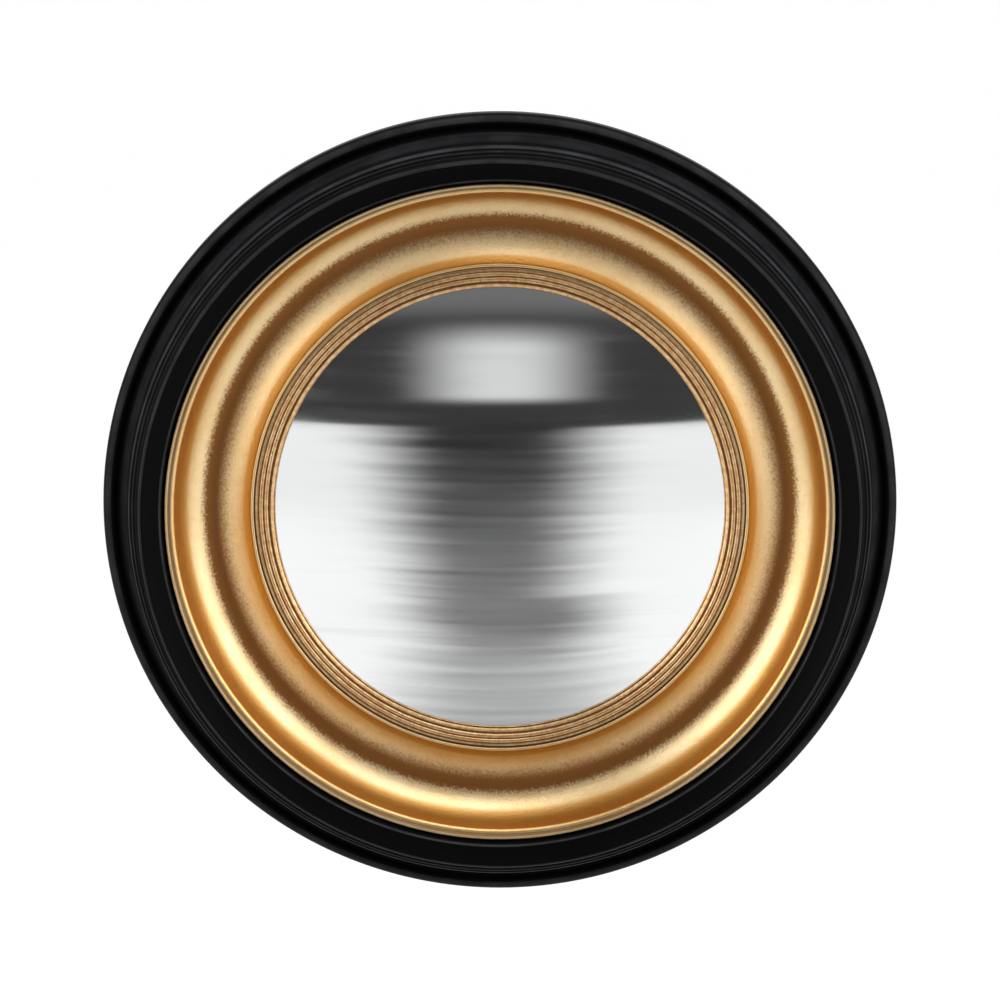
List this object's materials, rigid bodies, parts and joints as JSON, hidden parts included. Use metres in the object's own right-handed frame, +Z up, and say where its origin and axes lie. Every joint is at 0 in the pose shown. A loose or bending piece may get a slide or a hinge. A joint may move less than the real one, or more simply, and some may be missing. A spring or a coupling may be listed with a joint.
{
  "type": "convex wall mirror",
  "caption": "Round convex butlers mirror: bulging glass in a gilded slip and deep gilded scoop, set in a stepped black turned frame, with a hanger ring and turn buttons on the back.",
  "frame": {"origin": "on the wall plane that the four bumpers touch, on the axis of the round mirror", "axes": "+Z up as the mirror hangs, -Y out of the wall towards the room (the glass looks along -Y), +X to the right as seen from the room"},
  "size_m": [0.38, 0.04, 0.38],
  "materials": {
    "ebonised_wood": "satin black paint",
    "gilded_wood": "burnished metal leaf",
    "silvered_glass": "polished, silvered behind",
    "felt": "felt",
    "softwood": "bare",
    "hardboard": "smooth pressed board",
    "zinc_steel": "zinc plated",
    "plated_steel": "zinc plated",
    "brass_plate": "satin",
    "brass_screws": "satin",
    "rubber": "matt"
  },
  "bodies": {
    "mirror": {"outer_frame": "ebonised_wood", "gilt_scoop": "gilded_wood", "reeded_slip": "gilded_wood", "glass_gasket": "felt", "mirror_glass": "silvered_glass", "packing_ring": "softwood", "backboard": "hardboard", "frame_screws": "zinc_steel", "button_screws": "brass_screws", "hanger_strap": "plated_steel", "hanger_screws": "zinc_steel", "wall_bumper_1": "rubber", "wall_bumper_2": "rubber", "wall_bumper_3": "rubber", "wall_bumper_4": "rubber"},
    "hanger_ring": {"hanger_ring": "plated_steel"},
    "turn_button_1": {"turn_button_1": "brass_plate"},
    "turn_button_2": {"turn_button_2": "brass_plate"},
    "turn_button_3": {"turn_button_3": "brass_plate"},
    "turn_button_4": {"turn_button_4": "brass_plate"}
  },
  "joints": [
    {"name": "hanger_ring_swing", "type": "hinge", "parent": "mirror", "child": "hanger_ring", "pos_m": [0, -0.00205, 0.1777], "axis": [1, 0, 0], "range_deg": [0, 180]},
    {"name": "turn_button_1_swivel", "type": "hinge", "parent": "mirror", "child": "turn_button_1", "pos_m": [0.10133, -0.0034, 0.10133], "axis": [0, 1, 0], "continuous": true},
    {"name": "turn_button_2_swivel", "type": "hinge", "parent": "mirror", "child": "turn_button_2", "pos_m": [-0.10133, -0.0034, 0.10133], "axis": [0, 1, 0], "continuous": true},
    {"name": "turn_button_3_swivel", "type": "hinge", "parent": "mirror", "child": "turn_button_3", "pos_m": [-0.10133, -0.0034, -0.10133], "axis": [0, 1, 0], "continuous": true},
    {"name": "turn_button_4_swivel", "type": "hinge", "parent": "mirror", "child": "turn_button_4", "pos_m": [0.10133, -0.0034, -0.10133], "axis": [0, 1, 0], "continuous": true}
  ]
}
